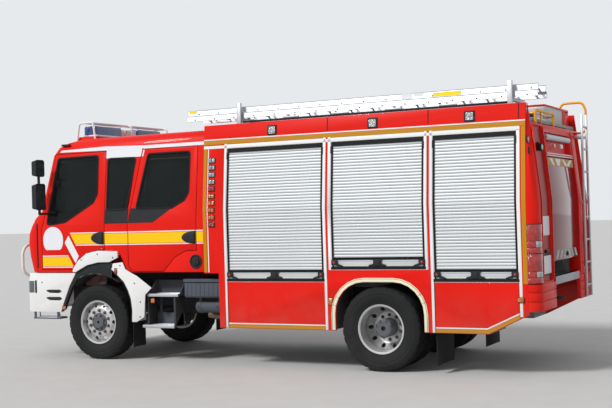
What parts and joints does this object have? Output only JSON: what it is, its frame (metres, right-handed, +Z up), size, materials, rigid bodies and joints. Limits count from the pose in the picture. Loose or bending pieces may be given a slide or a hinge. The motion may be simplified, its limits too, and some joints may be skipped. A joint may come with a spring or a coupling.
{
  "type": "fire engine",
  "caption": "Crew-cab fire engine with a locker body, roller shutters, roof ladders and a rear pump bay; its wheels roll and steer, and its doors and rear flap open.",
  "frame": {"origin": "centre of the bounding box's bottom, on the ground under the middle of the truck", "axes": "+Z up, the truck faces -X, its left side is -Y"},
  "size_m": [7.69, 2.9, 3.38],
  "materials": {
    "red_paint": "gloss",
    "white_paint": "gloss",
    "chassis_paint": "satin",
    "wheel_paint": "satin",
    "aluminium": "satin",
    "trim": "matte",
    "lamp": "gloss",
    "blue_lens": "gloss",
    "glass": "gloss",
    "seat": "woven",
    "tyre": "matte",
    "flap_rubber": "matte"
  },
  "bodies": {
    "truck": {"frame_rails": "chassis_paint", "powertrain": "chassis_paint", "axles": "chassis_paint", "leaf_springs": "chassis_paint", "front_bumper": "white_paint", "headlamps": "glass", "cab_steps": "chassis_paint", "chassis_boxes": "chassis_paint", "tow_eyes": "chassis_paint", "body_inner": "aluminium", "low_lockers": "aluminium", "body_sides": "red_paint", "shutter_frames": "aluminium", "shutters": "aluminium", "cab_shell": "red_paint", "front_panel": "red_paint", "cab_glass": "glass", "front_mudguards": "white_paint", "dashboard": "trim", "seats": "seat", "beacon_bar": "blue_lens", "beacon_hoops": "white_paint", "front_guard": "white_paint", "body_roof": "aluminium", "body_rear": "red_paint", "rear_roller": "aluminium", "rear_bumper": "red_paint", "arch_trims": "white_paint", "mudflaps": "flap_rubber", "body_lamps": "lamp", "pump": "aluminium", "roof_ladder": "aluminium", "ladder_gantry": "aluminium", "rear_ladder": "aluminium", "roof_locker": "aluminium", "grab_rails": "white_paint"},
    "door_front_left": {"door_front_left": "red_paint", "glass_front_left": "glass", "mirrors_left": "trim"},
    "door_crew_left": {"door_crew_left": "red_paint", "glass_crew_left": "glass"},
    "knuckle_left": {"knuckle_left": "chassis_paint"},
    "wheel_front_left": {"wheel_front_left": "wheel_paint", "tyre_front_left": "tyre"},
    "wheels_rear_left": {"wheels_rear_left": "wheel_paint", "tyres_rear_left": "tyre"},
    "door_front_right": {"door_front_right": "red_paint", "glass_front_right": "glass", "mirrors_right": "trim"},
    "door_crew_right": {"door_crew_right": "red_paint", "glass_crew_right": "glass"},
    "knuckle_right": {"knuckle_right": "chassis_paint"},
    "wheel_front_right": {"wheel_front_right": "wheel_paint", "tyre_front_right": "tyre"},
    "wheels_rear_right": {"wheels_rear_right": "wheel_paint", "tyres_rear_right": "tyre"},
    "rear_flap": {"rear_flap": "red_paint"}
  },
  "joints": [
    {"name": "door_front_left_hinge", "type": "hinge", "parent": "truck", "child": "door_front_left", "pos_m": [-3.325, -1.2, 1.6], "axis": [0, 0, -1], "range_deg": [0, 70]},
    {"name": "door_crew_left_hinge", "type": "hinge", "parent": "truck", "child": "door_crew_left", "pos_m": [-1.835, -1.2, 1.6], "axis": [0, 0, -1], "range_deg": [0, 70]},
    {"name": "steer_left", "type": "hinge", "parent": "truck", "child": "knuckle_left", "pos_m": [-2.42, -0.85, 0.51], "axis": [0, 0, 1], "range_deg": [-35, 35]},
    {"name": "wheel_front_left_spin", "type": "hinge", "parent": "knuckle_left", "child": "wheel_front_left", "pos_m": [-2.42, -1.018, 0.51], "axis": [0, 1, 0], "continuous": true},
    {"name": "wheels_rear_left_spin", "type": "hinge", "parent": "truck", "child": "wheels_rear_left", "pos_m": [1.84, -1.08, 0.51], "axis": [0, 1, 0], "continuous": true},
    {"name": "door_front_right_hinge", "type": "hinge", "parent": "truck", "child": "door_front_right", "pos_m": [-3.325, 1.2, 1.6], "axis": [0, 0, 1], "range_deg": [0, 70]},
    {"name": "door_crew_right_hinge", "type": "hinge", "parent": "truck", "child": "door_crew_right", "pos_m": [-1.835, 1.2, 1.6], "axis": [0, 0, 1], "range_deg": [0, 70]},
    {"name": "steer_right", "type": "hinge", "parent": "truck", "child": "knuckle_right", "pos_m": [-2.42, 0.85, 0.51], "axis": [0, 0, 1], "range_deg": [-35, 35]},
    {"name": "wheel_front_right_spin", "type": "hinge", "parent": "knuckle_right", "child": "wheel_front_right", "pos_m": [-2.42, 1.018, 0.51], "axis": [0, 1, 0], "continuous": true},
    {"name": "wheels_rear_right_spin", "type": "hinge", "parent": "truck", "child": "wheels_rear_right", "pos_m": [1.84, 1.08, 0.51], "axis": [0, 1, 0], "continuous": true},
    {"name": "rear_flap_hinge", "type": "hinge", "parent": "truck", "child": "rear_flap", "pos_m": [3.7513, 0, 2.5], "axis": [0, -1, 0], "range_deg": [0, 85]}
  ],
  "couplings": [
    {"joint": "steer_right", "follows": "steer_left", "ratio": 1}
  ]
}
